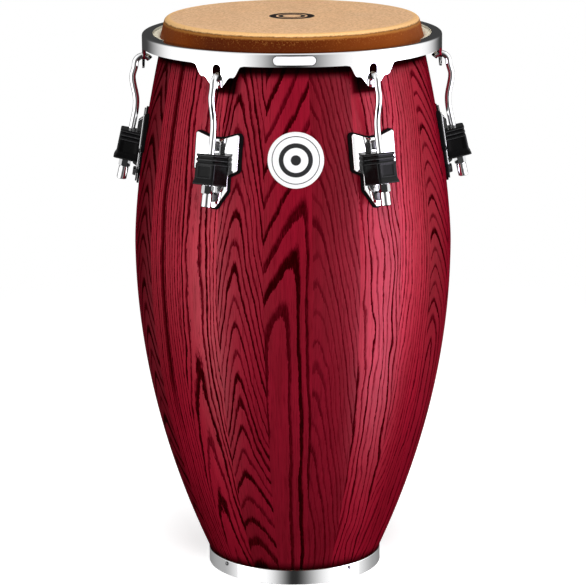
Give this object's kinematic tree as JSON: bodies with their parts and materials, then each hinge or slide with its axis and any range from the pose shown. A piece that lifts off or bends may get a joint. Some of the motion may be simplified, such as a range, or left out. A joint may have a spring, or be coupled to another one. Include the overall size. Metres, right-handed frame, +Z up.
{
  "type": "tumba",
  "caption": "Tumba: barrel shell of red ash, hide head pulled down by a chromed rim with hooked lugs, side plates with black isolating blocks, and a foot band.",
  "frame": {"origin": "centre of the foot, on the floor that the drum stands on", "axes": "+Z up along the drum's axis, -Y towards the badge, +X to the right of it"},
  "size_m": [0.4522, 0.4026, 0.711],
  "materials": {
    "red_ash": "gloss lacquer over dark open grain",
    "chrome": "polished",
    "steel": "zinc plated",
    "black_rubber": "matte",
    "black_nylon": "satin moulded",
    "hide": "natural rawhide"
  },
  "bodies": {
    "shell": {"shell": "red_ash", "bottom_band": "chrome", "band_screw_1": "steel", "band_screw_2": "steel", "band_screw_3": "steel", "band_screw_4": "steel", "badge": "chrome", "gasket_1": "black_rubber", "side_plate_1": "chrome", "isolator_block_1": "black_nylon", "backing_plate_1": "steel", "upper_bolt_1": "steel", "lower_bolt_1": "steel", "gasket_2": "black_rubber", "side_plate_2": "chrome", "isolator_block_2": "black_nylon", "backing_plate_2": "steel", "upper_bolt_2": "steel", "lower_bolt_2": "steel", "gasket_3": "black_rubber", "side_plate_3": "chrome", "isolator_block_3": "black_nylon", "backing_plate_3": "steel", "upper_bolt_3": "steel", "lower_bolt_3": "steel", "gasket_4": "black_rubber", "side_plate_4": "chrome", "isolator_block_4": "black_nylon", "backing_plate_4": "steel", "upper_bolt_4": "steel", "lower_bolt_4": "steel", "gasket_5": "black_rubber", "side_plate_5": "chrome", "isolator_block_5": "black_nylon", "backing_plate_5": "steel", "upper_bolt_5": "steel", "lower_bolt_5": "steel", "gasket_6": "black_rubber", "side_plate_6": "chrome", "isolator_block_6": "black_nylon", "backing_plate_6": "steel", "upper_bolt_6": "steel", "lower_bolt_6": "steel"},
    "head": {"rim": "chrome", "flesh_hoop": "steel", "drum_skin": "hide"},
    "lug_1": {"tuning_lug_1": "chrome"},
    "nut_1": {"tuning_nut_1": "chrome"},
    "lug_2": {"tuning_lug_2": "chrome"},
    "nut_2": {"tuning_nut_2": "chrome"},
    "lug_3": {"tuning_lug_3": "chrome"},
    "nut_3": {"tuning_nut_3": "chrome"},
    "lug_4": {"tuning_lug_4": "chrome"},
    "nut_4": {"tuning_nut_4": "chrome"},
    "lug_5": {"tuning_lug_5": "chrome"},
    "nut_5": {"tuning_nut_5": "chrome"},
    "lug_6": {"tuning_lug_6": "chrome"},
    "nut_6": {"tuning_nut_6": "chrome"}
  },
  "joints": [
    {"name": "head_slide", "type": "slide", "parent": "shell", "child": "head", "axis": [0, 0, 1], "range_m": [0, 0.008]},
    {"name": "lug_1_slide", "type": "slide", "parent": "shell", "child": "lug_1", "axis": [-0.1099, 0.1904, 0.9755], "range_m": [0, 0.00902]},
    {"name": "nut_1_turn", "type": "hinge", "parent": "shell", "child": "nut_1", "pos_m": [0.10552, -0.18277, 0.5324], "axis": [0.1099, -0.1904, -0.9755], "range_deg": [0, 2571]},
    {"name": "lug_2_slide", "type": "slide", "parent": "shell", "child": "lug_2", "axis": [-0.2198, 0, 0.9755], "range_m": [0, 0.00902]},
    {"name": "nut_2_turn", "type": "hinge", "parent": "shell", "child": "nut_2", "pos_m": [0.21104, 0, 0.5324], "axis": [0.2198, 0, -0.9755], "range_deg": [0, 2571]},
    {"name": "lug_3_slide", "type": "slide", "parent": "shell", "child": "lug_3", "axis": [-0.1099, -0.1904, 0.9755], "range_m": [0, 0.00902]},
    {"name": "nut_3_turn", "type": "hinge", "parent": "shell", "child": "nut_3", "pos_m": [0.10552, 0.18277, 0.5324], "axis": [0.1099, 0.1904, -0.9755], "range_deg": [0, 2571]},
    {"name": "lug_4_slide", "type": "slide", "parent": "shell", "child": "lug_4", "axis": [0.1099, -0.1904, 0.9755], "range_m": [0, 0.00902]},
    {"name": "nut_4_turn", "type": "hinge", "parent": "shell", "child": "nut_4", "pos_m": [-0.10552, 0.18277, 0.5324], "axis": [-0.1099, 0.1904, -0.9755], "range_deg": [0, 2571]},
    {"name": "lug_5_slide", "type": "slide", "parent": "shell", "child": "lug_5", "axis": [0.2198, 0, 0.9755], "range_m": [0, 0.00902]},
    {"name": "nut_5_turn", "type": "hinge", "parent": "shell", "child": "nut_5", "pos_m": [-0.21104, 0, 0.5324], "axis": [-0.2198, 0, -0.9755], "range_deg": [0, 2571]},
    {"name": "lug_6_slide", "type": "slide", "parent": "shell", "child": "lug_6", "axis": [0.1099, 0.1904, 0.9755], "range_m": [0, 0.00902]},
    {"name": "nut_6_turn", "type": "hinge", "parent": "shell", "child": "nut_6", "pos_m": [-0.10552, -0.18277, 0.5324], "axis": [-0.1099, -0.1904, -0.9755], "range_deg": [0, 2571]}
  ],
  "couplings": [
    {"joint": "lug_1_slide", "follows": "head_slide", "ratio": 1.115},
    {"joint": "nut_1_turn", "follows": "head_slide", "rad_per_m": 5604.6},
    {"joint": "lug_2_slide", "follows": "head_slide", "ratio": 1.115},
    {"joint": "nut_2_turn", "follows": "head_slide", "rad_per_m": 5604.6},
    {"joint": "lug_3_slide", "follows": "head_slide", "ratio": 1.115},
    {"joint": "nut_3_turn", "follows": "head_slide", "rad_per_m": 5604.6},
    {"joint": "lug_4_slide", "follows": "head_slide", "ratio": 1.115},
    {"joint": "nut_4_turn", "follows": "head_slide", "rad_per_m": 5604.6},
    {"joint": "lug_5_slide", "follows": "head_slide", "ratio": 1.115},
    {"joint": "nut_5_turn", "follows": "head_slide", "rad_per_m": 5604.6},
    {"joint": "lug_6_slide", "follows": "head_slide", "ratio": 1.115},
    {"joint": "nut_6_turn", "follows": "head_slide", "rad_per_m": 5604.6}
  ]
}
